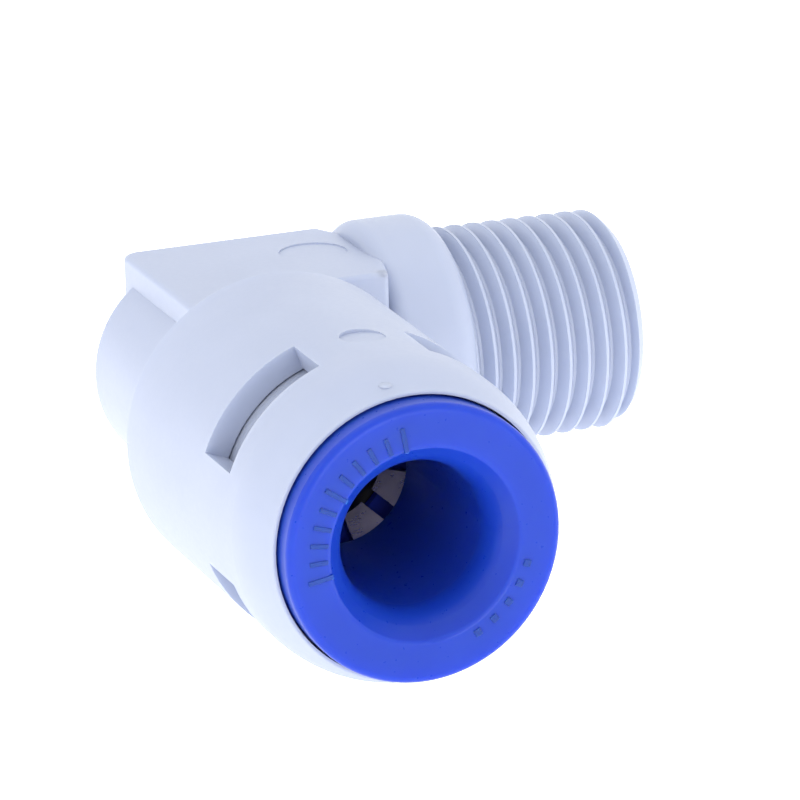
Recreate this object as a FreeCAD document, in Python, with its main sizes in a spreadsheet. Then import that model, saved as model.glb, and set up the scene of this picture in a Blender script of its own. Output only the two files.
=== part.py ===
"""Push-to-connect elbow: 1/4 in tube socket at right angles to a 1/8-27 tapered male thread.

The socket axis runs along Y and the thread axis along X. Every piece is drawn around the point
where the two axes cross, then placed so that the row's origin is the centre of the collar's
front face, where the thread starts. +X runs out along the thread, -Y out of the tube's mouth.
Stations along the socket are distances from the crossing towards the mouth, so y = -station.
"""
import FreeCAD, Part
import Sketcher
import math
import os

from FreeCAD import Placement, Rotation, Vector

doc = FreeCAD.newDocument("push_fit_elbow")

SIZES = {
    # tube socket
    "tube_radius": 3.175,
    "tube_clearance": 0.075,
    "sleeve_rear": 9.0,
    "sleeve_front": 25.8,
    "sleeve_wall": 0.85,
    "sleeve_draft": 0.08,
    "shoulder_round": 7.0,
    "shoulder_length": 1.7,
    "lip_wall": 0.15,
    "lip_round": 0.1,
    "sleeve_edge_round": 0.12,
    "mouth_depth": 2.4,
    "stop_wall": 0.5,
    "seat_depth": 2.3,
    "gland_length": 2.1,
    "seat_step": 1.075,
    "passage_end": 1.0,
    # windows in the sleeve and the snap tabs that sit in them
    "window_setback": 4.3,
    "window_width": 3.1,
    "window_angle": 49.0,
    "tab_angle": 40.0,
    "tab_length": 1.9,
    "tab_height": 0.55,
    "tab_gap": 0.1,
    "tab_root": 0.4,
    # rear boss and wrench block
    "boss_radius": 5.13,
    "boss_end": 1.86,
    "boss_round": 0.3,
    "block_half_height": 5.23,
    "block_half_width": 3.13,
    "block_back": 3.48,
    "block_corner_round": 0.9,
    "block_edge_round": 0.22,
    "block_lap": 0.4,
    "neck_front": 5.1,
    "neck_end": 7.0,
    "neck_inside_round": 0.5,
    "neck_corner_round": 0.3,
    "neck_front_slant": 1.9,
    "neck_back_slant": 1.7,
    "neck_slant_reach": 0.35,
    "boss_foot_round": 0.2,
    "ejector_inset": 1.94,
    "ejector_front": 0.43,
    "ejector_radius": 1.6,
    "ejector_depth": 0.07,
    "gate_side": 0.2,
    "gate_station": 19.6,
    "gate_radius": 1.0,
    "gate_depth": 0.2,
    # collar and male thread
    "collar_back": 7.15,
    "collar_front": 11.23,
    "collar_stand": 0.83,
    "collar_back_round": 0.75,
    "collar_round_share": 1.1,
    "collar_front_land": 0.15,
    "collar_foot_depth": 0.3,
    "collar_foot_step": 0.05,
    "thread_radius": 5.3,
    "thread_length": 8.64,
    "thread_pitch": 0.9407,
    "thread_depth": 0.6,
    "thread_root_flat": 0.14,
    "thread_crest_round": 0.15,
    "thread_half_angle": 30.0,
    "thread_taper": 0.6,
    "thread_overrun": 0.8,
    "thread_phase": 0.73,
    "thread_end_chamfer": 0.55,
    "thread_run_in": 0.03,
    "thread_bore_radius": 2.1,
    "bore_chamfer": 0.3,
    # collet
    "flange_lap": 0.15,
    "flange_gap": 0.1,
    "flange_stand": 1.15,
    "flange_thickness": 1.9,
    "flange_edge_round": 0.35,
    "flange_root_round": 0.3,
    "funnel_edge_round": 0.25,
    "edge_round": 0.15,
    "fine_round": 0.1,
    "funnel_flare": 1.05,
    "funnel_depth": 1.2,
    "funnel_round": 2.0,
    "neck_wall": 0.95,
    "neck_gap": 0.15,
    "shank_relief": 0.1,
    "barb_height": 0.55,
    "barb_gap": 0.2,
    "barb_length": 1.0,
    "barb_ramp": 0.75,
    "nose_wall": 0.37,
    "nose_taper": 0.9,
    "press_stroke": 1.0,
    "nose_gap": 0.12,
    "axial_gap": 0.05,
    "throat_length": 3.0,
    # grab ring, support ring and O-ring
    "grab_gauge": 0.3,
    "grab_seat": 1.05,
    "grab_bite": 0.425,
    "grab_slope": 35.0,
    "grab_rim_gap": 0.15,
    "grab_slot_width": 0.72,
    "grab_slot_reach": 0.2,
    "grab_slot_round": 0.2,
    "grab_slot_start": 0.7,
    "insert_wall": 0.97,
    "insert_gap": 0.08,
    "support_thickness": 1.6,
    "support_gap": 0.1,
    "support_dish": 1.2,
    "support_rim": 0.45,
    "support_bore_gap": 0.1,
    "o_ring_section": 0.89,
    "o_ring_reach": 0.125,
    "gland_gap": 0.03,
}

PETALS = 10
WINDOWS = 4
PETAL_TURN = -43.0
QUARTER_TURN = 45.0

sheet = doc.addObject("Spreadsheet::Sheet", "Sizes")
for row, (alias, number) in enumerate(SIZES.items(), start=1):
    sheet.set(f"A{row}", alias)
    sheet.set(f"B{row}", str(number))
    sheet.setAlias(f"B{row}", alias)
doc.recompute()


def size(alias):
    """Expression for one cell of the sheet."""
    return f"Sizes.{alias}"


def value(expression):
    """Present number of an expression, used only to draw a sketch near its final shape."""
    result = sheet.evalExpression(expression)
    return float(getattr(result, "Value", result))


BORE = f"({size('tube_radius')} + {size('tube_clearance')})"
PASSAGE_RADIUS = f"({size('tube_radius')} - {size('seat_step')})"
NOSE_RADIUS = f"({BORE} + {size('nose_wall')})"
NECK_RADIUS = f"({BORE} + {size('neck_wall')})"
BARB_RADIUS = f"({NECK_RADIUS} + {size('barb_height')})"
FUNNEL_RADIUS = f"({BORE} + {size('funnel_flare')})"
THROAT_RADIUS = f"({NECK_RADIUS} + {size('neck_gap')})"
CHAMBER_RADIUS = f"({BARB_RADIUS} + {size('barb_gap')})"
INSERT_RADIUS = f"({CHAMBER_RADIUS} + {size('insert_wall')})"
POCKET_RADIUS = f"({INSERT_RADIUS} + {size('insert_gap')})"
FLANGE_RADIUS = f"({POCKET_RADIUS} + {size('flange_lap')})"
MOUTH_RADIUS = f"({FLANGE_RADIUS} + {size('flange_gap')})"
SLEEVE_RADIUS = f"({MOUTH_RADIUS} + {size('sleeve_wall')})"
SLEEVE_REAR_RADIUS = f"({SLEEVE_RADIUS} + {size('sleeve_draft')})"

FACE = f"({size('sleeve_front')} + {size('flange_stand')})"
FLANGE_BACK = f"({FACE} - {size('flange_thickness')})"
INSERT_FRONT = f"({size('sleeve_front')} - {size('mouth_depth')})"
LIP = f"({INSERT_FRONT} - {size('throat_length')})"
STOP = f"({size('sleeve_rear')} + {size('stop_wall')})"
GLAND_REAR = f"({STOP} + {size('seat_depth')})"
GLAND_FRONT = f"({GLAND_REAR} + {size('gland_length')})"
GRAB_REAR = f"({GLAND_FRONT} + {size('support_thickness')})"
GRAB_FRONT = f"({GRAB_REAR} + {size('grab_gauge')})"
WINDOW_FRONT = f"({size('sleeve_front')} - {size('window_setback')})"
WINDOW_REAR = f"({WINDOW_FRONT} - {size('window_width')})"

O_RING_INNER = f"({size('tube_radius')} - {size('o_ring_reach')})"
O_RING_MIDDLE = f"({O_RING_INNER} + {size('o_ring_section')})"
GLAND_RADIUS = f"({O_RING_MIDDLE} + {size('o_ring_section')} + {size('gland_gap')})"
GRAB_ROOT = f"({BORE} + {size('grab_seat')})"
GRAB_TIP = f"({size('tube_radius')} - {size('grab_bite')})"
SLOPE_TAN = f"tan({size('grab_slope')} * 1deg)"
NOSE_CONTACT = f"({GRAB_FRONT} - ({GRAB_ROOT} - {NOSE_RADIUS}) * {SLOPE_TAN})"
NOSE_END = f"({NOSE_CONTACT} + {size('press_stroke')} + {size('nose_gap')})"

COLLAR_RADIUS = f"({size('thread_radius')} + {size('collar_stand')})"
COLLAR_FOOT = f"({size('thread_radius')} - {size('collar_foot_depth')})"
THREAD_END = f"({size('collar_front')} + {size('thread_length')})"


def new_body(label):
    """A body whose drawing origin, the crossing, lies behind the collar's front face."""
    body = doc.addObject("PartDesign::Body", label)
    body.Label = label
    return body


def place(piece, turn=0.0):
    """Turn a piece about the socket axis and move it from the crossing to the row's frame."""
    piece.Placement = Placement(Vector(), Rotation(Vector(0, 1, 0), turn))
    piece.setExpression("Placement.Base.x", f"-{size('collar_front')}")


def origin_plane(body, role):
    """One of the body's own origin planes."""
    return next(item for item in body.Origin.OriginFeatures if item.Role == role)


def new_sketch(body, name, role, offset=None):
    """An empty sketch on an origin plane, moved along the plane's normal by an expression."""
    sketch = body.newObject("Sketcher::SketchObject", name)
    sketch.AttachmentSupport = [(origin_plane(body, role), "")]
    sketch.MapMode = "FlatFace"
    if offset:
        sketch.setExpression("AttachmentOffset.Base.z", offset)
    return sketch


def pin_point(sketch, element, point, across, up):
    """Hold one sketch point at two expressions measured from the sketch's origin."""
    for kind, expression in (("DistanceX", across), ("DistanceY", up)):
        number = value(expression)
        row = sketch.addConstraint(Sketcher.Constraint(kind, -1, 1, element, point, number))
        sketch.setExpression(f"Constraints[{row}]", expression)


def add_outline(sketch, corners):
    """Closed outline; a corner is (across, up) or (across, up, radius), all expressions."""
    count = len(corners)
    spots = [Vector(value(corner[0]), value(corner[1]), 0) for corner in corners]
    arrive = []
    leave = []
    for index, corner in enumerate(corners):
        spot = spots[index]
        if len(corner) == 2:
            arrive.append(spot)
            leave.append(spot)
            continue
        back = (spots[index - 1] - spot).normalize()
        ahead = (spots[(index + 1) % count] - spot).normalize()
        half = back.getAngle(ahead) / 2
        reach = value(corner[2]) / math.tan(half)
        arrive.append(spot + back * reach)
        leave.append(spot + ahead * reach)
    lines = []
    for index in range(count):
        segment = Part.LineSegment(leave[index], arrive[(index + 1) % count])
        lines.append(sketch.addGeometry(segment, False))
    for index, corner in enumerate(corners):
        before = lines[index - 1]
        after = lines[index]
        if len(corner) == 2:
            sketch.addConstraint(Sketcher.Constraint("Coincident", before, 2, after, 1))
            pin_point(sketch, after, 1, corner[0], corner[1])
            continue
        spot = spots[index]
        inward = (arrive[index] + leave[index]) * 0.5 - spot
        radius = value(corner[2])
        centre_reach = math.hypot(radius, (arrive[index] - spot).Length)
        middle = spot + inward.normalize() * (centre_reach - radius)
        bend = sketch.addGeometry(Part.Arc(arrive[index], middle, leave[index]), False)
        starts_here = sketch.getPoint(bend, 1).distanceToPoint(arrive[index]) < 1e-6
        first, second = (1, 2) if starts_here else (2, 1)
        sketch.addConstraint(Sketcher.Constraint("Tangent", before, 2, bend, first))
        sketch.addConstraint(Sketcher.Constraint("Tangent", after, 1, bend, second))
        row = sketch.addConstraint(Sketcher.Constraint("Radius", bend, radius))
        sketch.setExpression(f"Constraints[{row}]", corner[2])
        mark = sketch.addGeometry(Part.Point(spot), True)
        sketch.addConstraint(Sketcher.Constraint("PointOnObject", mark, 1, before))
        sketch.addConstraint(Sketcher.Constraint("PointOnObject", mark, 1, after))
        pin_point(sketch, mark, 1, corner[0], corner[1])


def add_circle(sketch, across, up, radius):
    """A circle held by expressions."""
    ring = Part.Circle(Vector(value(across), value(up), 0), Vector(0, 0, 1), value(radius))
    element = sketch.addGeometry(ring, False)
    row = sketch.addConstraint(Sketcher.Constraint("Radius", element, value(radius)))
    sketch.setExpression(f"Constraints[{row}]", radius)
    pin_point(sketch, element, 3, across, up)


def turned(body, kind, name, corners, axis="V_Axis", angle=None):
    """Revolution or Groove of an outline in the XY plane, about Y (V_Axis) or X (H_Axis)."""
    sketch = new_sketch(body, name + "_outline", "XY_Plane")
    add_outline(sketch, corners)
    feature = body.newObject(f"PartDesign::{kind}", name)
    feature.Profile = sketch
    feature.ReferenceAxis = (sketch, [axis])
    if angle:
        feature.Midplane = True
        feature.setExpression("Angle", angle)
    else:
        feature.Angle = 360
    body.Tip = feature
    doc.recompute()
    return feature


def around_socket(body, name, feature, copies):
    """Polar pattern of a feature about the socket axis."""
    pattern = body.newObject("PartDesign::PolarPattern", name)
    pattern.Originals = [feature]
    axis = next(item for item in body.Origin.OriginFeatures if item.Role == "Y_Axis")
    pattern.Axis = (axis, [""])
    pattern.Angle = 360
    pattern.Occurrences = copies
    body.Tip = pattern
    doc.recompute()
    return pattern


def cut_pocket(body, name, sketch, length):
    """Pocket that must take material away."""
    before = body.Shape.Volume
    pocket = body.newObject("PartDesign::Pocket", name)
    pocket.Profile = sketch
    pocket.setExpression("Length", length)
    body.Tip = pocket
    doc.recompute()
    if body.Shape.Volume >= before:
        raise RuntimeError(f"{name} cut nothing")
    return pocket


def flat_edges(shape, height):
    """Names of the edges that lie whole in the two planes z = +height and z = -height."""
    names = []
    for number, edge in enumerate(shape.Edges, start=1):
        levels = [vertex.Point.z for vertex in edge.Vertexes]
        if all(abs(abs(level) - height) < 1e-6 for level in levels):
            if abs(levels[0] - levels[-1]) < 1e-6:
                names.append(f"Edge{number}")
    return names


def cut_thread(body):
    """Right-handed V groove wound along the tapering barrel, starting under the collar."""
    start = f"({size('collar_front')} - {size('thread_phase')})"
    crest = size("thread_radius")
    root = f"{crest} - {size('thread_depth')}"
    flank_top = f"{crest} - {size('thread_crest_round')}"
    root_half = f"{size('thread_root_flat')} / 2"
    flank_rise = f"({size('thread_depth')} - {size('thread_crest_round')})"
    flank_half = f"({root_half} + {flank_rise} * tan({size('thread_half_angle')} * 1deg))"
    top_half = f"({size('thread_pitch')} / 2 - {size('thread_run_in')})"
    round_half = f"(({flank_half} + 2 * {top_half}) / 3)"
    round_top = f"{crest} - {size('thread_crest_round')} / 4"
    over = COLLAR_RADIUS
    length = f"({size('thread_length')} + {size('thread_phase')})"
    turns = f"{length} / {size('thread_pitch')} + {size('thread_overrun')}"
    groove = new_sketch(body, "groove_outline", "XZ_Plane")
    add_outline(groove, [
        (f"{start} - {root_half}", root),
        (f"{start} + {root_half}", root),
        (f"{start} + {flank_half}", flank_top),
        (f"{start} + {round_half}", round_top),
        (f"{start} + {top_half}", over),
        (f"{start} - {top_half}", over),
        (f"{start} - {round_half}", round_top),
        (f"{start} - {flank_half}", flank_top),
    ])
    before = body.Shape.Volume
    helix = body.newObject("PartDesign::SubtractiveHelix", "thread_groove")
    helix.Profile = groove
    helix.ReferenceAxis = (groove, ["H_Axis"])
    helix.Mode = "pitch-turns-angle"
    helix.setExpression("Pitch", size("thread_pitch"))
    helix.setExpression("Turns", turns)
    helix.setExpression("Angle", f"-{size('thread_taper')}")
    body.Tip = helix
    doc.recompute()
    taken = before - body.Shape.Volume
    band = value(f"{size('thread_length')} * {size('thread_radius')} * {size('thread_depth')}")
    if taken < band:
        raise RuntimeError(f"thread_groove took only {taken:.1f} mm3")


def build_core():
    """Block, sleeve, boss, collar and thread barrel, with the passages through them."""
    body = new_body("elbow_core")
    block_top = size("block_half_height")

    block = new_sketch(body, "block_outline", "XY_Plane")
    left = f"-{size('block_half_width')}"
    sleeve_side = f"-({size('sleeve_rear')} + {size('block_lap')})"
    front = f"-{size('neck_front')}"
    back = size("block_back")
    slant_reach = size("neck_slant_reach")
    neck_tip = f"({size('collar_back')} + {slant_reach})"
    corner_round = size("neck_corner_round")
    add_outline(block, [
        (left, sleeve_side),
        (size("block_half_width"), sleeve_side),
        (size("block_half_width"), front, size("neck_inside_round")),
        (size("neck_end"), front, corner_round),
        (neck_tip, f"{front} + {size('neck_front_slant')}"),
        (neck_tip, f"{back} - {size('neck_back_slant')}"),
        (f"({size('neck_end')} - {slant_reach})", back, corner_round),
        (left, back, size("block_corner_round")),
    ])
    pad = body.newObject("PartDesign::Pad", "wrench_block")
    pad.Profile = block
    pad.SideType = "Symmetric"
    pad.setExpression("Length", f"2 * {block_top}")
    body.Tip = pad
    doc.recompute()
    rounding = body.newObject("PartDesign::Fillet", "block_edges")
    rounding.Base = (pad, flat_edges(pad.Shape, value(block_top)))
    rounding.setExpression("Radius", size("block_edge_round"))
    body.Tip = rounding
    doc.recompute()

    shoulder = f"({size('sleeve_front')} - {size('shoulder_length')})"
    turned(body, "Revolution", "sleeve_and_boss", [
        ("0", size("boss_end")),
        (size("boss_radius"), size("boss_end"), size("boss_round")),
        (size("boss_radius"), f"-{size('sleeve_rear')}", size("boss_foot_round")),
        (SLEEVE_REAR_RADIUS, f"-{size('sleeve_rear')}", size("sleeve_edge_round")),
        (SLEEVE_RADIUS, f"-{shoulder}", size("shoulder_round")),
        (f"({MOUTH_RADIUS} + {size('lip_wall')})", f"-{size('sleeve_front')}", size("lip_round")),
        ("0", f"-{size('sleeve_front')}"),
    ])

    taper_drop = f"({size('thread_length')} * tan({size('thread_taper')} * 1deg))"
    thread_end_radius = f"({size('thread_radius')} - {taper_drop})"
    chamfer = size("thread_end_chamfer")
    turned(body, "Revolution", "thread_barrel", [
        (size("collar_back"), "0"),
        (size("collar_back"), size("thread_radius")),
        (size("collar_front"), size("thread_radius")),
        (f"({THREAD_END} - {chamfer})", thread_end_radius),
        (THREAD_END, f"({thread_end_radius} - {chamfer})"),
        (THREAD_END, "0"),
    ], axis="H_Axis")
    cut_thread(body)
    collar_land = f"({size('collar_front')} - {size('collar_front_land')})"
    collar_foot = f"({size('collar_front')} + {size('collar_foot_step')})"
    front_round = f"({COLLAR_RADIUS} - {COLLAR_FOOT}) * {size('collar_round_share')}"
    turned(body, "Revolution", "collar", [
        (size("collar_back"), "0"),
        (size("collar_back"), COLLAR_RADIUS, size("collar_back_round")),
        (collar_land, COLLAR_RADIUS, front_round),
        (collar_foot, COLLAR_FOOT),
        (collar_foot, "0"),
    ], axis="H_Axis")

    ejector = new_sketch(body, "ejector_outline", "XY_Plane", block_top)
    add_circle(ejector, f"{size('neck_end')} - {size('ejector_inset')}",
               f"-{size('ejector_front')}", size("ejector_radius"))
    cut_pocket(body, "ejector_mark", ejector, size("ejector_depth"))
    gate = new_sketch(body, "gate_outline", "XY_Plane", SLEEVE_REAR_RADIUS)
    add_circle(gate, size("gate_side"), f"-{size('gate_station')}", size("gate_radius"))
    cut_pocket(body, "gate_mark", gate, size("gate_depth"))

    turned(body, "Groove", "socket_bores", [
        ("0", size("passage_end")),
        (PASSAGE_RADIUS, size("passage_end")),
        (PASSAGE_RADIUS, f"-{STOP}"),
        (BORE, f"-{STOP}"),
        (BORE, f"-{GLAND_REAR}"),
        (GLAND_RADIUS, f"-{GLAND_REAR}"),
        (GLAND_RADIUS, f"-{GLAND_FRONT}"),
        (POCKET_RADIUS, f"-{GLAND_FRONT}"),
        (POCKET_RADIUS, f"-{INSERT_FRONT}"),
        (MOUTH_RADIUS, f"-{INSERT_FRONT}"),
        (MOUTH_RADIUS, f"-({size('sleeve_front')} + 1)"),
        ("0", f"-({size('sleeve_front')} + 1)"),
    ])
    turned(body, "Groove", "thread_bore", [
        (f"-{size('passage_end')}", "0"),
        (f"-{size('passage_end')}", size("thread_bore_radius")),
        (f"({THREAD_END} - {size('bore_chamfer')})", size("thread_bore_radius")),
        (THREAD_END, f"({size('thread_bore_radius')} + {size('bore_chamfer')})"),
        (f"({THREAD_END} + 1)", f"({size('thread_bore_radius')} + {size('bore_chamfer')})"),
        (f"({THREAD_END} + 1)", "0"),
    ], axis="H_Axis")
    return body


def build_window_cutter():
    """Four sectors joined by a hub that stays inside the bore, all at quarter turns."""
    body = new_body("window_cutter")
    rear = f"-{WINDOW_REAR}"
    front = f"-{WINDOW_FRONT}"
    hub = size("tube_radius")
    reach = f"({SLEEVE_RADIUS} + 1)"
    turned(body, "Revolution", "cutter_hub", [("0", rear), (hub, rear), (hub, front), ("0", front)])
    sector = turned(body, "Revolution", "cutter_sector",
                    [("0", rear), (reach, rear), (reach, front), ("0", front)],
                    angle=size("window_angle"))
    around_socket(body, "cutter_sectors", sector, WINDOWS)
    place(body, QUARTER_TURN)
    return body


def build_elbow_body():
    """The core with its four windows cut through the sleeve."""
    core = build_core()
    place(core)
    cut = doc.addObject("Part::Cut", "elbow_body")
    cut.Label = "elbow_body"
    cut.Base = core
    cut.Tool = build_window_cutter()
    doc.recompute()
    return cut


def build_retaining_insert():
    """White ring snapped into the sleeve; its tabs sit in the windows and hold everything in."""
    body = new_body("retaining_insert")
    rear = f"({GRAB_FRONT} + {size('axial_gap')})"
    turned(body, "Revolution", "insert_ring", [
        (CHAMBER_RADIUS, f"-{rear}"),
        (INSERT_RADIUS, f"-{rear}"),
        (INSERT_RADIUS, f"-{INSERT_FRONT}", size("edge_round")),
        (THROAT_RADIUS, f"-{INSERT_FRONT}", size("edge_round")),
        (THROAT_RADIUS, f"-{LIP}"),
        (CHAMBER_RADIUS, f"-{LIP}"),
    ])
    tab_front = f"({WINDOW_FRONT} - {size('tab_gap')})"
    tab_rear = f"({tab_front} - {size('tab_length')})"
    tab_top = f"({INSERT_RADIUS} + {size('tab_height')})"
    inside = f"({INSERT_RADIUS} - {size('tab_root')})"
    tab = turned(body, "Revolution", "snap_tab", [
        (inside, f"-{tab_rear}"),
        (f"({INSERT_RADIUS} + {size('insert_gap')})", f"-{tab_rear}"),
        (tab_top, f"-({tab_rear} + {size('tab_length')} / 2)"),
        (tab_top, f"-{tab_front}"),
        (inside, f"-{tab_front}"),
    ], angle=size("tab_angle"))
    around_socket(body, "snap_tabs", tab, WINDOWS)
    place(body, QUARTER_TURN)
    return body


def build_release_collet():
    """Blue press-in collar: flange, funnel, smooth bore, snap barb and thin nose."""
    body = new_body("release_collet")
    barb_front = f"({LIP} - {size('axial_gap')})"
    barb_rear = f"({barb_front} - {size('barb_length')})"
    barb_foot = f"({barb_rear} - {size('barb_ramp')})"
    shank = f"({NECK_RADIUS} - {size('shank_relief')})"
    turned(body, "Revolution", "collet_ring", [
        (BORE, f"-{NOSE_END}"),
        (NOSE_RADIUS, f"-{NOSE_END}", size("fine_round")),
        (shank, f"-({NOSE_END} + {size('nose_taper')})"),
        (shank, f"-{barb_foot}"),
        (BARB_RADIUS, f"-{barb_rear}"),
        (BARB_RADIUS, f"-{barb_front}", size("fine_round")),
        (NECK_RADIUS, f"-{barb_front}"),
        (NECK_RADIUS, f"-{FLANGE_BACK}", size("flange_root_round")),
        (FLANGE_RADIUS, f"-{FLANGE_BACK}", size("edge_round")),
        (FLANGE_RADIUS, f"-{FACE}", size("flange_edge_round")),
        (FUNNEL_RADIUS, f"-{FACE}", size("funnel_edge_round")),
        (BORE, f"-({FACE} - {size('funnel_depth')})", size("funnel_round")),
    ])
    place(body)
    return body


def build_grab_ring():
    """Stamped steel ring whose petals lean inwards and away from the mouth."""
    body = new_body("grab_ring")
    slope = f"{size('grab_slope')} * 1deg"
    gauge = size("grab_gauge")
    root = GRAB_ROOT
    tip = GRAB_TIP
    tip_front = f"({GRAB_FRONT} - ({root} - {tip}) * {SLOPE_TAN})"
    rim = f"({POCKET_RADIUS} - {size('grab_rim_gap')})"
    turned(body, "Revolution", "ring_blank", [
        (rim, f"-{GRAB_FRONT}"),
        (root, f"-{GRAB_FRONT}"),
        (tip, f"-{tip_front}"),
        (f"({tip} + {gauge} * sin({slope}))", f"-({tip_front} - {gauge} * cos({slope}))"),
        (f"({root} + {gauge} * tan({slope} / 2))", f"-{GRAB_REAR}"),
        (rim, f"-{GRAB_REAR}"),
    ])
    slot = new_sketch(body, "slot_outline", "XZ_Plane")
    half = f"{size('grab_slot_width')} / 2"
    reach = f"({root} + {size('grab_slot_reach')})"
    inner = f"({tip} * {size('grab_slot_start')})"
    add_outline(slot, [
        (inner, f"-{half}"),
        (reach, f"-{half}", size("grab_slot_round")),
        (reach, half, size("grab_slot_round")),
        (inner, half),
    ])
    before = body.Shape.Volume
    pocket = body.newObject("PartDesign::Pocket", "slot")
    pocket.Profile = slot
    pocket.setExpression("Length", FACE)
    body.Tip = pocket
    pocket.Reversed = True
    doc.recompute()
    if body.Shape.Volume >= before:
        raise RuntimeError("slot cut nothing")
    around_socket(body, "slots", pocket, PETALS)
    place(body, -PETAL_TURN)
    return body


def build_support_ring():
    """Dished ring behind the petals: it backs the steel rim and closes the O-ring's gland."""
    body = new_body("support_ring")
    outer = f"({POCKET_RADIUS} - {size('support_gap')})"
    bore = f"({BORE} + {size('support_bore_gap')})"
    rim = f"({GRAB_ROOT} + {size('support_rim')})"
    turned(body, "Revolution", "support_blank", [
        (bore, f"-{GLAND_FRONT}"),
        (outer, f"-{GLAND_FRONT}"),
        (outer, f"-{GRAB_REAR}"),
        (rim, f"-{GRAB_REAR}"),
        (bore, f"-({GRAB_REAR} - {size('support_dish')})"),
    ])
    place(body)
    return body


def build_o_ring():
    """Seal in the gland between the tube's seat and the support ring."""
    ring = doc.addObject("Part::Torus", "o_ring")
    ring.Label = "o_ring"
    ring.setExpression("Radius1", O_RING_MIDDLE)
    ring.setExpression("Radius2", size("o_ring_section"))
    ring.Placement = Placement(Vector(), Rotation(Vector(1, 0, 0), 90))
    ring.setExpression("Placement.Base.x", f"-{size('collar_front')}")
    ring.setExpression("Placement.Base.y", f"-({GLAND_REAR} + {size('gland_length')} / 2)")
    return ring


pieces = [
    build_elbow_body(),
    build_retaining_insert(),
    build_release_collet(),
    build_grab_ring(),
    build_support_ring(),
    build_o_ring(),
]
doc.recompute()

for item in doc.Objects:
    if "Invalid" in item.State or "Error" in item.State:
        raise RuntimeError(f"{item.Name}: {item.State}")
for piece in pieces:
    if piece.Shape.isNull() or not piece.Shape.isValid():
        raise RuntimeError(f"{piece.Label} is not a valid solid")
    if len(piece.Shape.Solids) != 1:
        raise RuntimeError(f"{piece.Label} has {len(piece.Shape.Solids)} solids")

os.makedirs("parts", exist_ok=True)
for piece in pieces:
    piece.Shape.exportStep(f"parts/{piece.Label}.step")
    box = piece.Shape.BoundBox
    print(f"{piece.Label}: {piece.Shape.Volume:.1f} mm3, "
          f"x {box.XMin:.2f}..{box.XMax:.2f}, y {box.YMin:.2f}..{box.YMax:.2f}, "
          f"z {box.ZMin:.2f}..{box.ZMax:.2f}")
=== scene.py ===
# %% [markdown]
# Looks for a push-to-connect elbow: a white moulded body with a blue release collet in its mouth
# and a tapered male thread at a right angle. The solid model gives every size, so this file only
# dresses it: finishes for each piece, the small relief that moulding leaves, light and a camera.
# +X runs out along the thread, -Y out of the tube's mouth, +Z is up, and lengths are in metres.

# %% Load the frame
import math

import bmesh
import bpy
from mathutils import Matrix, Vector


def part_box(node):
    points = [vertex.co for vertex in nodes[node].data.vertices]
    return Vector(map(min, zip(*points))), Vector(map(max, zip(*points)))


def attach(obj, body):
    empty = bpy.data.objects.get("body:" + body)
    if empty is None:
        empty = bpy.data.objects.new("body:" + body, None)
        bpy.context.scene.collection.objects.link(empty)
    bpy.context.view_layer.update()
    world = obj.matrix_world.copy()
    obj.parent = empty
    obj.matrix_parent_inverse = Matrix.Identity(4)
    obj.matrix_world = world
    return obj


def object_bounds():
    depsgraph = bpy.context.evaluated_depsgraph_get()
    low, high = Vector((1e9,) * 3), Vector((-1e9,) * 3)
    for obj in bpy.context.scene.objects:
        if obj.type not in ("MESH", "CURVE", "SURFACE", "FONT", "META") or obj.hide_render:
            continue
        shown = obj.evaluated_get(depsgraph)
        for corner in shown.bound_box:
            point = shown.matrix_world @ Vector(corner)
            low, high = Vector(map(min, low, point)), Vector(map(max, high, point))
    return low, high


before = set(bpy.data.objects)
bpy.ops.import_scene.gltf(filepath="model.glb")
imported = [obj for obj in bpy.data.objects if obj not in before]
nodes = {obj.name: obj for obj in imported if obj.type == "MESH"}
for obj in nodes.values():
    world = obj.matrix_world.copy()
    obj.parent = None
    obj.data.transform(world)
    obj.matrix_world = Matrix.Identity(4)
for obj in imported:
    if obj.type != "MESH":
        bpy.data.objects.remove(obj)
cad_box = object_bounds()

MM = 0.001
print("pieces in the frame:", sorted(nodes))

# %% [markdown]
# Everything around the tube's mouth turns about one axis. Its place comes from the collet itself:
# the middle of the collet's box is on the socket's axis, and the box's lowest y is its front face.

# %% Find the socket's axis and the main stations
collet_low, collet_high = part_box("release_collet")
body_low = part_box("elbow_body")[0]
socket_x = (collet_low.x + collet_high.x) / 2
face_y = collet_low.y
flange_radius = (collet_high.x - collet_low.x) / 2
sleeve_radius = -body_low.z
print(f"socket axis x = {socket_x / MM:.2f} mm, flange radius {flange_radius / MM:.2f} mm")

# %% [markdown]
# Moulded plastic is never one flat colour. Cooling leaves soft patches a few millimetres across,
# and the mould's spark-eroded skin leaves a much finer grain. Both are wanted on every plastic
# and on the rubber, so they live in one node group that puts out two values per point: the
# patches, for colour, and the grain, for roughness and bump.


# %% Node group for moulded surfaces
def new_group(name, inputs, outputs):
    """Empty shader node group; inputs are (name, kind, value), outputs are (name, kind)."""
    group = bpy.data.node_groups.new(name, "ShaderNodeTree")
    for label, kind, start in inputs:
        socket = group.interface.new_socket(label, in_out="INPUT", socket_type=kind)
        if start is not None:
            socket.default_value = start
    for label, kind in outputs:
        group.interface.new_socket(label, in_out="OUTPUT", socket_type=kind)
    entry = group.nodes.new("NodeGroupInput")
    exit_node = group.nodes.new("NodeGroupOutput")
    return group, entry, exit_node


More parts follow.
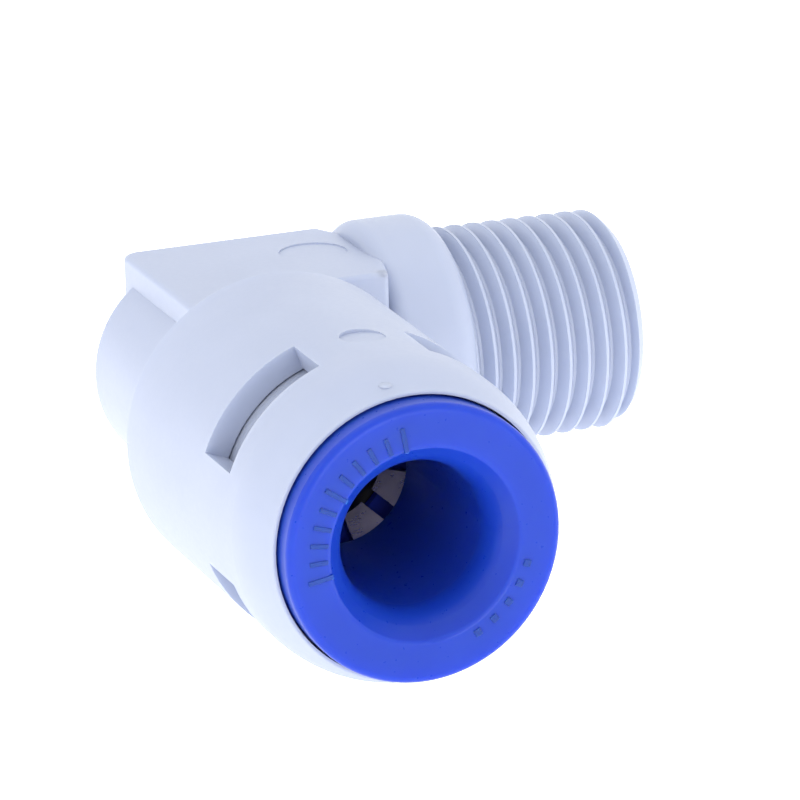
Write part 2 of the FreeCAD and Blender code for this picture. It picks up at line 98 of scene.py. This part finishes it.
def build_moulded_skin():
    """Patches and grain for anything that came out of a mould."""
    group, entry, exit_node = new_group(
        "moulded_skin",
        [("Vector", "NodeSocketVector", None),
         ("Patch Scale", "NodeSocketFloat", 180.0),
         ("Grain Scale", "NodeSocketFloat", 4000.0)],
        [("Patches", "NodeSocketFloat"), ("Grain", "NodeSocketFloat")],
    )
    patches = group.nodes.new("ShaderNodeTexNoise")
    patches.inputs["Detail"].default_value = 3.0
    patches.inputs["Roughness"].default_value = 0.45
    patches.inputs["Distortion"].default_value = 0.6
    spread = group.nodes.new("ShaderNodeMapRange")
    spread.inputs["From Min"].default_value = 0.32
    spread.inputs["From Max"].default_value = 0.68
    grain = group.nodes.new("ShaderNodeTexNoise")
    grain.inputs["Detail"].default_value = 2.0
    link = group.links.new
    link(entry.outputs["Vector"], patches.inputs["Vector"])
    link(entry.outputs["Vector"], grain.inputs["Vector"])
    link(entry.outputs["Patch Scale"], patches.inputs["Scale"])
    link(entry.outputs["Grain Scale"], grain.inputs["Scale"])
    link(patches.outputs["Fac"], spread.inputs["Value"])
    link(spread.outputs["Result"], exit_node.inputs["Patches"])
    link(grain.outputs["Fac"], exit_node.inputs["Grain"])
    return group


moulded_skin = build_moulded_skin()
print("group:", moulded_skin.name, [item.name for item in moulded_skin.interface.items_tree])

# %% [markdown]
# The flow of melt also leaves faint streaks that run along a part, and a punch leaves fine lines
# on sheet steel. A second group stretches one noise along an axis to give such lines; the caller
# says how dense they are in each direction.


# %% Node group for streaks
def build_streaks():
    """Lines drawn out along one direction of the piece."""
    group, entry, exit_node = new_group(
        "drawn_streaks",
        [("Vector", "NodeSocketVector", None),
         ("Density", "NodeSocketVector", (60.0, 1500.0, 1500.0))],
        [("Streaks", "NodeSocketFloat")],
    )
    stretch = group.nodes.new("ShaderNodeVectorMath")
    stretch.operation = "MULTIPLY"
    lines = group.nodes.new("ShaderNodeTexNoise")
    lines.inputs["Scale"].default_value = 1.0
    lines.inputs["Detail"].default_value = 4.0
    link = group.links.new
    link(entry.outputs["Vector"], stretch.inputs[0])
    link(entry.outputs["Density"], stretch.inputs[1])
    link(stretch.outputs["Vector"], lines.inputs["Vector"])
    link(lines.outputs["Fac"], exit_node.inputs["Streaks"])
    return group


drawn_streaks = build_streaks()
print("group:", drawn_streaks.name)

# %% [markdown]
# The plastics differ in colour, gloss and how far light sinks in, but their node trees are the
# same. One function builds that tree: patches tint the colour, streaks shade it a little, and
# the grain moves roughness and the surface. Acetal lets light in for a millimetre or two, which
# softens every edge, and the blue one has the most subsurface weight.


# %% Plastic and rubber finishes
def new_material(name):
    """Material with a cleared tree, its shader and object coordinates."""
    material = bpy.data.materials.new(name)
    material.use_nodes = True
    tree = material.node_tree
    tree.nodes.clear()
    output = tree.nodes.new("ShaderNodeOutputMaterial")
    shader = tree.nodes.new("ShaderNodeBsdfPrincipled")
    place = tree.nodes.new("ShaderNodeTexCoord")
    tree.links.new(shader.outputs["BSDF"], output.inputs["Surface"])
    return material, tree, shader, place.outputs["Object"]


def add_group(tree, group, coordinates, **values):
    """Places a node group and sets its named inputs."""
    node = tree.nodes.new("ShaderNodeGroup")
    node.node_tree = group
    tree.links.new(coordinates, node.inputs["Vector"])
    for label, number in values.items():
        node.inputs[label.replace("_", " ")].default_value = number
    return node


def mix_colours(tree, factor, first, second):
    """Colour between two others; each is a fixed colour or a socket."""
    mix = tree.nodes.new("ShaderNodeMix")
    mix.data_type = "RGBA"
    tree.links.new(factor, mix.inputs["Factor"])
    for socket, colour in ((mix.inputs[6], first), (mix.inputs[7], second)):
        if isinstance(colour, tuple):
            socket.default_value = (*colour, 1.0)
        else:
            tree.links.new(colour, socket)
    return mix.outputs[2]


def map_to(tree, factor, low, high):
    """Value from low to high as the factor goes from 0 to 1."""
    span = tree.nodes.new("ShaderNodeMapRange")
    span.inputs["To Min"].default_value = low
    span.inputs["To Max"].default_value = high
    tree.links.new(factor, span.inputs["Value"])
    return span.outputs["Result"]


def add_bump(tree, shader, height, strength, depth):
    """Fine relief from a height."""
    bump = tree.nodes.new("ShaderNodeBump")
    bump.inputs["Strength"].default_value = strength
    bump.inputs["Distance"].default_value = depth
    tree.links.new(height, bump.inputs["Height"])
    tree.links.new(bump.outputs["Normal"], shader.inputs["Normal"])


def moulded(name, light, dark, gloss, depth=0.0, reach=(1.0, 1.0, 1.0), relief=0.12, shine=0.5):
    """Moulded finish: two near colours, (smooth, rough) gloss range and how far light sinks in."""
    material, tree, shader, coordinates = new_material(name)
    skin = add_group(tree, moulded_skin, coordinates)
    flow = add_group(tree, drawn_streaks, coordinates, Density=(500.0, 70.0, 500.0))
    tint = mix_colours(tree, skin.outputs["Patches"], light, dark)
    shade = tuple(channel * 0.93 for channel in dark)
    colour = mix_colours(tree, map_to(tree, flow.outputs["Streaks"], 0.0, 0.5), tint, shade)
    tree.links.new(colour, shader.inputs["Base Color"])
    rough = map_to(tree, skin.outputs["Grain"], *gloss)
    tree.links.new(rough, shader.inputs["Roughness"])
    add_bump(tree, shader, skin.outputs["Grain"], relief, 0.02 * MM)
    shader.inputs["IOR"].default_value = 1.48
    shader.inputs["Specular IOR Level"].default_value = shine
    shader.inputs["Subsurface Weight"].default_value = depth
    shader.inputs["Subsurface Radius"].default_value = reach
    shader.inputs["Subsurface Scale"].default_value = 0.9 * MM
    return material


white_body = moulded("white_acetal", (0.42, 0.465, 0.60), (0.395, 0.44, 0.575), (0.34, 0.50),
                     depth=0.25, reach=(0.9, 1.0, 1.25))
white_insert = moulded("white_insert_acetal", (0.42, 0.46, 0.57), (0.39, 0.43, 0.54), (0.36, 0.5),
                       depth=0.25, reach=(0.9, 1.0, 1.25))
blue_collet = moulded("blue_acetal", (0.010, 0.051, 0.46), (0.008, 0.045, 0.41), (0.24, 0.36),
                      depth=0.75, reach=(0.6, 0.9, 2.4), relief=0.04, shine=0.30)
blue_support = moulded("deep_blue_acetal", (0.010, 0.030, 0.36), (0.008, 0.022, 0.29), (0.3, 0.44),
                       depth=0.1, reach=(0.2, 0.3, 1.2), shine=0.3)
black_rubber = moulded("black_rubber", (0.012, 0.012, 0.013), (0.020, 0.020, 0.021), (0.5, 0.72),
                       relief=0.3)
print("finishes:", [material.name for material in bpy.data.materials])

# %% [markdown]
# The grab ring is stamped from thin stainless sheet. Rolled sheet shows fine lines and a cloudy
# gloss, so streaks drive the roughness of a fully metallic shader, and patches tint it.


# %% Stainless sheet
def stainless_sheet():
    """Rolled and stamped stainless steel."""
    material, tree, shader, coordinates = new_material("stainless_sheet")
    skin = add_group(tree, moulded_skin, coordinates, Patch_Scale=420.0, Grain_Scale=6000.0)
    lines = add_group(tree, drawn_streaks, coordinates, Density=(150.0, 4000.0, 4000.0))
    colour = mix_colours(tree, skin.outputs["Patches"], (0.46, 0.40, 0.36), (0.34, 0.30, 0.28))
    tree.links.new(colour, shader.inputs["Base Color"])
    tree.links.new(map_to(tree, lines.outputs["Streaks"], 0.22, 0.36), shader.inputs["Roughness"])
    add_bump(tree, shader, lines.outputs["Streaks"], 0.06, 0.005 * MM)
    shader.inputs["Metallic"].default_value = 1.0
    return material


steel = stainless_sheet()
print("finish:", steel.name)

# %% [markdown]
# The solid pieces keep their shapes. Each one's material slots are filled with its finish.

# %% Dress the solid pieces
FINISHES = {
    "elbow_body": white_body,
    "retaining_insert": white_insert,
    "release_collet": blue_collet,
    "grab_ring": steel,
    "support_ring": blue_support,
    "o_ring": black_rubber,
}
for name, finish in FINISHES.items():
    slots = nodes[name].material_slots
    for slot in slots:
        slot.material = finish
    if not slots:
        nodes[name].data.materials.append(finish)
    print(name, "->", finish.name)

# %% [markdown]
# Small relief that moulding leaves is too fine for the solid model, so it is laid on as thin
# pieces: raised ticks and pips round the collet's face, where a maker would put a mark, and a
# faint pip on the sleeve's shoulder. Each piece keeps its origin at the frame's origin and rides
# on the part it belongs to.


# %% Tools for small relief
def finish_piece(name, shape, body, material):
    """Makes the piece from a bmesh and ties it to its body."""
    bmesh.ops.recalc_face_normals(shape, faces=shape.faces)
    mesh = bpy.data.meshes.new(name)
    shape.to_mesh(mesh)
    shape.free()
    mesh.materials.append(material)
    piece = bpy.data.objects.new(name, mesh)
    bpy.context.scene.collection.objects.link(piece)
    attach(piece, body)
    print(f"{name}: {len(mesh.polygons)} faces")
    return piece


def add_bar(shape, place, size, turn, soften):
    """Box of a given size with softened edges, turned and set in place."""
    matrix = place @ turn @ Matrix.Diagonal((*size, 1.0))
    made = bmesh.ops.create_cube(shape, size=1.0, matrix=matrix)
    edges = list({edge for vertex in made["verts"] for edge in vertex.link_edges})
    bmesh.ops.bevel(shape, geom=edges, offset=soften, offset_type="OFFSET", segments=3,
                    profile=0.5, affect="EDGES", material=-1)


# %% [markdown]
# The ticks stand radially on the upper left of the collet's face. The angle runs round the
# socket's axis from +X up to +Z. A few small square pips sit low on the right.

# %% Marks on the collet's face
TICK_LENGTH = 1.15 * MM
TICK_WIDTH = 0.20 * MM
MARK_STAND = 0.05 * MM
MARK_ROOT = 0.10 * MM
TICKS = 11
FIRST_TICK = 100
TICK_STEP = 9
LONG_TICK_EVERY = 5
SHORT_TICK = 0.7
PIPS = 5
FIRST_PIP = -62
PIP_STEP = 11
PIP_WIDTH = TICK_WIDTH * 1.6
MARK_SOFTENING = 0.035 * MM
MARK_BAND_INNER = 3.3 * MM
MARK_SHARE = 0.52
mark_radius = MARK_SHARE * flange_radius + (1 - MARK_SHARE) * MARK_BAND_INNER
mark_middle = face_y + (MARK_ROOT - MARK_STAND) / 2


def mark_place(degrees):
    """Where a mark at this angle sits on the collet's face."""
    angle = math.radians(degrees)
    middle = (socket_x + mark_radius * math.cos(angle), mark_middle, mark_radius * math.sin(angle))
    return Matrix.Translation(middle), Matrix.Rotation(-angle, 4, "Y")


shape = bmesh.new()
height = MARK_STAND + MARK_ROOT
for step in range(TICKS):
    place, turn = mark_place(FIRST_TICK + TICK_STEP * step)
    length = TICK_LENGTH if step % LONG_TICK_EVERY == 0 else TICK_LENGTH * SHORT_TICK
    add_bar(shape, place, (length, height, TICK_WIDTH), turn, MARK_SOFTENING)
for step in range(PIPS):
    place, turn = mark_place(FIRST_PIP + PIP_STEP * step)
    add_bar(shape, place, (PIP_WIDTH, height, PIP_WIDTH), turn, MARK_SOFTENING)
finish_piece("collet_marks", shape, "collet", blue_collet)

# %% [markdown]
# The shoulder carries a low round pip beside the lip, above the collet.

# %% Shoulder pip
PIP_SIDE = -0.9 * MM
PIP_SETBACK = 1.9 * MM
PIP_DEPTH = 0.60 * MM
PIP_RADIUS = 0.30 * MM
PIP_FLATTENING = 0.40
shape = bmesh.new()
place = Matrix.Translation((socket_x + PIP_SIDE, face_y + PIP_SETBACK, sleeve_radius - PIP_DEPTH))
flatten = Matrix.Diagonal((1.0, 1.0, PIP_FLATTENING, 1.0))
bmesh.ops.create_uvsphere(shape, u_segments=32, v_segments=16, radius=PIP_RADIUS,
                          matrix=place @ flatten)
for face in shape.faces:
    face.smooth = True
finish_piece("shoulder_pip", shape, "fitting", white_body)

# %% [markdown]
# The elbow lies on its sleeve on a plain pale floor. The floor is a wide sheet just under the
# lowest point, with a trace of paper grain so that it isn't one flat value. It glows a little,
# as the lit base of a light tent does, and that fills the shadows and the thread's grooves.


# %% Floor
FLOOR_HALF_SIDE = 3.0
FLOOR_GAP = 0.02 * MM
FLOOR_GLOW = 0.7


def pale_floor(half_side):
    """Wide sheet under the object."""
    mesh = bpy.data.meshes.new("floor")
    shape = bmesh.new()
    level = Matrix.Translation((0.0, 0.0, cad_box[0][2] - FLOOR_GAP))
    bmesh.ops.create_grid(shape, x_segments=2, y_segments=2, size=half_side, matrix=level)
    shape.to_mesh(mesh)
    shape.free()
    floor = bpy.data.objects.new("floor", mesh)
    bpy.context.scene.collection.objects.link(floor)
    material, tree, shader, coordinates = new_material("pale_paper")
    skin = add_group(tree, moulded_skin, coordinates, Patch_Scale=12.0, Grain_Scale=900.0)
    colour = mix_colours(tree, skin.outputs["Patches"], (0.97, 0.97, 0.98), (0.95, 0.95, 0.96))
    tree.links.new(colour, shader.inputs["Base Color"])
    tree.links.new(map_to(tree, skin.outputs["Grain"], 0.75, 0.9), shader.inputs["Roughness"])
    shader.inputs["Emission Color"].default_value = (1.0, 1.0, 1.0, 1.0)
    shader.inputs["Emission Strength"].default_value = FLOOR_GLOW
    mesh.materials.append(material)
    return floor


floor = pale_floor(FLOOR_HALF_SIDE)
print("floor at z =", round(cad_box[0][2] / MM, 2), "mm")

# %% [markdown]
# The light is that of a white tent: bright from all round. The world and the glowing
# floor give nearly all of it. Two weak panels add a little from above and from the left, and a
# stronger one stands in front, near the level of the collet's mouth.


# %% Light
def panel(name, place, width, watts, aim=(-0.004, -0.008, 0.0)):
    """Square soft panel that looks at the object."""
    light = bpy.data.lights.new(name, "AREA")
    light.shape = "SQUARE"
    light.size = width
    light.energy = watts
    lamp = bpy.data.objects.new(name, light)
    away = Vector(place) - Vector(aim)
    lamp.matrix_world = Matrix.Translation(place) @ away.to_track_quat("Z", "Y").to_matrix().to_4x4()
    bpy.context.scene.collection.objects.link(lamp)
    return lamp


panel("overhead_panel", (-0.05, 0.10, 0.45), 0.40, 0.12)
panel("left_panel", (-0.45, -0.05, 0.20), 0.30, 0.10)
panel("front_panel", (0.02, -0.50, 0.03), 0.30, 0.75)
world = bpy.data.worlds.new("white_tent")
world.use_nodes = True
tent = world.node_tree.nodes["Background"]
tent.inputs["Color"].default_value = (0.98, 0.99, 1.0, 1.0)
tent.inputs["Strength"].default_value = 1.27
bpy.context.scene.world = world
bpy.context.scene.view_settings.view_transform = "Standard"
print("lights:", [item.name for item in bpy.data.lights])

# %% [markdown]
# A long lens keeps the elbow's shape free of strong perspective. The camera stands to the left of
# the mouth and above it, looks slightly down, and is tipped by a degree and a half.

# %% Camera
LENS = 229.8
TURN = math.radians(-20.95)
RISE = math.radians(17.74)
TIP = math.radians(-1.607)
DISTANCE = 0.237
AIM = Vector((-0.0033, -0.00367, -0.00146))
back = Vector((math.sin(TURN) * math.cos(RISE), -math.cos(TURN) * math.cos(RISE), math.sin(RISE)))
pose = back.to_track_quat("Z", "Y").to_matrix().to_4x4() @ Matrix.Rotation(TIP, 4, "Z")
lens = bpy.data.cameras.new("camera")
lens.lens = LENS
lens.sensor_width = 36.0
lens.clip_start = 0.01
camera = bpy.data.objects.new("camera", lens)
camera.matrix_world = Matrix.Translation(AIM + back * DISTANCE) @ pose
bpy.context.scene.collection.objects.link(camera)
bpy.context.scene.camera = camera
print("camera at", [round(number, 4) for number in camera.matrix_world.translation])
